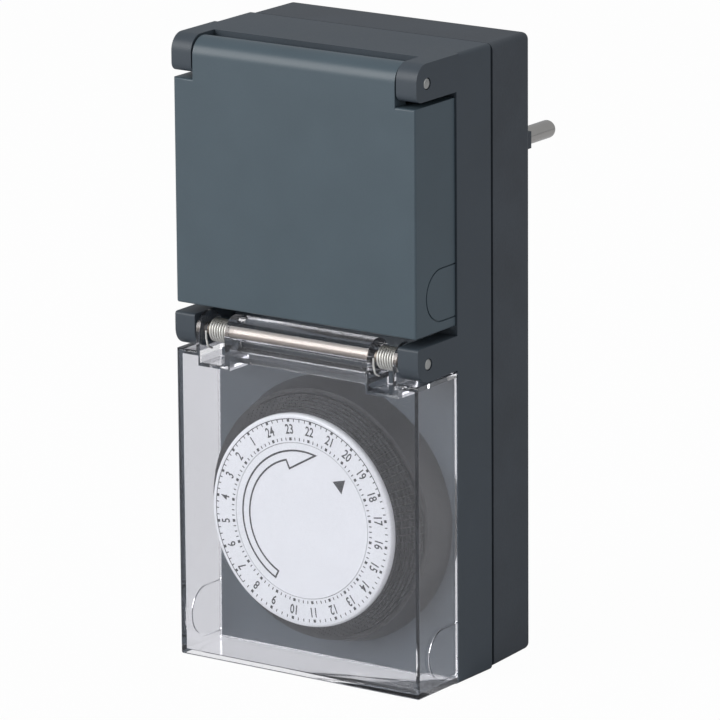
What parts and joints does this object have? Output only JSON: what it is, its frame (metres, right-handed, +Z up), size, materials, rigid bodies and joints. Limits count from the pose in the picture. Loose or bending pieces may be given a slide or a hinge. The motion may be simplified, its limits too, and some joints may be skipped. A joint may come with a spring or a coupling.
{
  "type": "outdoor plug-in mechanical timer",
  "caption": "Upright splash-proof plug-in timer: earthed socket under a sprung lid, segment dial under a clear sprung lid, and a round-pin plug on a long neck at the back.",
  "frame": {"origin": "middle of the front casing's base, half its width and half its depth", "axes": "+Z up from the base, +Y to the back where the plug is, +X to the right seen from the front"},
  "size_m": [0.075, 0.1034, 0.164],
  "materials": {
    "casing_plastic": "fine moulded grain",
    "rear_plastic": "fine moulded grain",
    "lid_plastic": "satin, fine moulded grain",
    "clear_plastic": "clear, lightly frosted",
    "black_rubber": "matt",
    "screw_steel": "zinc plated",
    "pin_steel": "drawn",
    "spring_steel": "bright wire",
    "socket_plastic": "moulded",
    "inner_plastic": "moulded",
    "contact_brass": "stamped",
    "nickel": "nickel plated",
    "dial_white": "printed, semi gloss",
    "dial_black": "moulded",
    "segment_black": "moulded",
    "gear_nylon": "moulded",
    "motor_steel": "zinc plated can"
  },
  "bodies": {
    "casing": {"casing_screws": "screw_steel", "casing_seal": "black_rubber", "contact_carrier": "inner_plastic", "contact_left": "contact_brass", "contact_right": "contact_brass", "dial_collar": "dial_black", "dial_spindle": "pin_steel", "earth_bar": "contact_brass", "earth_clips": "contact_brass", "feed_bar": "contact_brass", "front_casing": "casing_plastic", "gear_arbor": "pin_steel", "index_cap": "dial_white", "microswitch": "inner_plastic", "motor": "motor_steel", "neutral_bar": "contact_brass", "plate_screws": "screw_steel", "plug_core": "inner_plastic", "plug_earth_strip": "nickel", "plug_pin_left": "nickel", "plug_pin_right": "nickel", "rear_casing": "rear_plastic", "socket_insert": "socket_plastic", "socket_lid_pin": "pin_steel", "socket_lid_spring": "spring_steel", "switched_bar": "contact_brass", "timer_lid_pin": "pin_steel", "timer_lid_spring_left": "spring_steel", "timer_lid_spring_right": "spring_steel", "timer_plate": "inner_plastic"},
    "socket_lid": {"socket_lid": "lid_plastic"},
    "timer_lid": {"timer_lid": "clear_plastic"},
    "dial": {"dial_ring": "dial_white", "dial_drum": "dial_black"},
    "reduction_gear": {"reduction_gear": "gear_nylon"},
    "motor_pinion": {"motor_pinion": "gear_nylon"},
    "switch_follower": {"switch_follower": "gear_nylon"},
    "switch_plunger": {"switch_plunger": "gear_nylon"},
    "segment_block_01": {"segment_block_01": "segment_black"},
    "segment_block_02": {"segment_block_02": "segment_black"},
    "segment_block_03": {"segment_block_03": "segment_black"},
    "segment_block_04": {"segment_block_04": "segment_black"},
    "segment_block_05": {"segment_block_05": "segment_black"},
    "segment_block_06": {"segment_block_06": "segment_black"},
    "segment_block_07": {"segment_block_07": "segment_black"},
    "segment_block_08": {"segment_block_08": "segment_black"},
    "segment_block_09": {"segment_block_09": "segment_black"},
    "segment_block_10": {"segment_block_10": "segment_black"},
    "segment_block_11": {"segment_block_11": "segment_black"},
    "segment_block_12": {"segment_block_12": "segment_black"}
  },
  "joints": [
    {"name": "socket_lid_hinge", "type": "hinge", "parent": "casing", "child": "socket_lid", "pos_m": [0, -0.0209, 0.1588], "axis": [-1, 0, 0], "range_deg": [0, 105], "stiffness_Nm_per_rad": 0.01, "springref_deg": -28.65},
    {"name": "timer_lid_hinge", "type": "hinge", "parent": "casing", "child": "timer_lid", "pos_m": [0, -0.0209, 0.0871], "axis": [-1, 0, 0], "range_deg": [0, 90], "stiffness_Nm_per_rad": 0.012, "springref_deg": -28.65},
    {"name": "dial_turn", "type": "hinge", "parent": "casing", "child": "dial", "pos_m": [0, 0, 0.0413], "axis": [0, 1, 0], "continuous": true},
    {"name": "reduction_gear_turn", "type": "hinge", "parent": "casing", "child": "reduction_gear", "pos_m": [0, 0, 0.0665], "axis": [0, 1, 0], "continuous": true},
    {"name": "motor_turn", "type": "hinge", "parent": "casing", "child": "motor_pinion", "pos_m": [0.0175, 0, 0.0665], "axis": [0, 1, 0], "continuous": true},
    {"name": "switch_follower_press", "type": "slide", "parent": "casing", "child": "switch_follower", "axis": [0, 1, 0], "range_m": [0, 0.0015], "stiffness_N_per_m": 300, "springref_m": -0.0005},
    {"name": "switch_plunger_press", "type": "slide", "parent": "casing", "child": "switch_plunger", "axis": [0, 1, 0], "range_m": [0, 0.0015]},
    {"name": "segment_block_01_press", "type": "slide", "parent": "dial", "child": "segment_block_01", "axis": [0, 1, 0], "range_m": [0, 0.003]},
    {"name": "segment_block_02_press", "type": "slide", "parent": "dial", "child": "segment_block_02", "axis": [0, 1, 0], "range_m": [0, 0.003]},
    {"name": "segment_block_03_press", "type": "slide", "parent": "dial", "child": "segment_block_03", "axis": [0, 1, 0], "range_m": [0, 0.003]},
    {"name": "segment_block_04_press", "type": "slide", "parent": "dial", "child": "segment_block_04", "axis": [0, 1, 0], "range_m": [0, 0.003]},
    {"name": "segment_block_05_press", "type": "slide", "parent": "dial", "child": "segment_block_05", "axis": [0, 1, 0], "range_m": [0, 0.003]},
    {"name": "segment_block_06_press", "type": "slide", "parent": "dial", "child": "segment_block_06", "axis": [0, 1, 0], "range_m": [0, 0.003]},
    {"name": "segment_block_07_press", "type": "slide", "parent": "dial", "child": "segment_block_07", "axis": [0, 1, 0], "range_m": [0, 0.003]},
    {"name": "segment_block_08_press", "type": "slide", "parent": "dial", "child": "segment_block_08", "axis": [0, 1, 0], "range_m": [0, 0.003]},
    {"name": "segment_block_09_press", "type": "slide", "parent": "dial", "child": "segment_block_09", "axis": [0, 1, 0], "range_m": [0, 0.003]},
    {"name": "segment_block_10_press", "type": "slide", "parent": "dial", "child": "segment_block_10", "axis": [0, 1, 0], "range_m": [0, 0.003]},
    {"name": "segment_block_11_press", "type": "slide", "parent": "dial", "child": "segment_block_11", "axis": [0, 1, 0], "range_m": [0, 0.003]},
    {"name": "segment_block_12_press", "type": "slide", "parent": "dial", "child": "segment_block_12", "axis": [0, 1, 0], "range_m": [0, 0.003]}
  ],
  "couplings": [
    {"joint": "reduction_gear_turn", "follows": "dial_turn", "ratio": -6},
    {"joint": "motor_turn", "follows": "dial_turn", "ratio": 36},
    {"joint": "switch_plunger_press", "follows": "switch_follower_press", "ratio": 1}
  ]
}
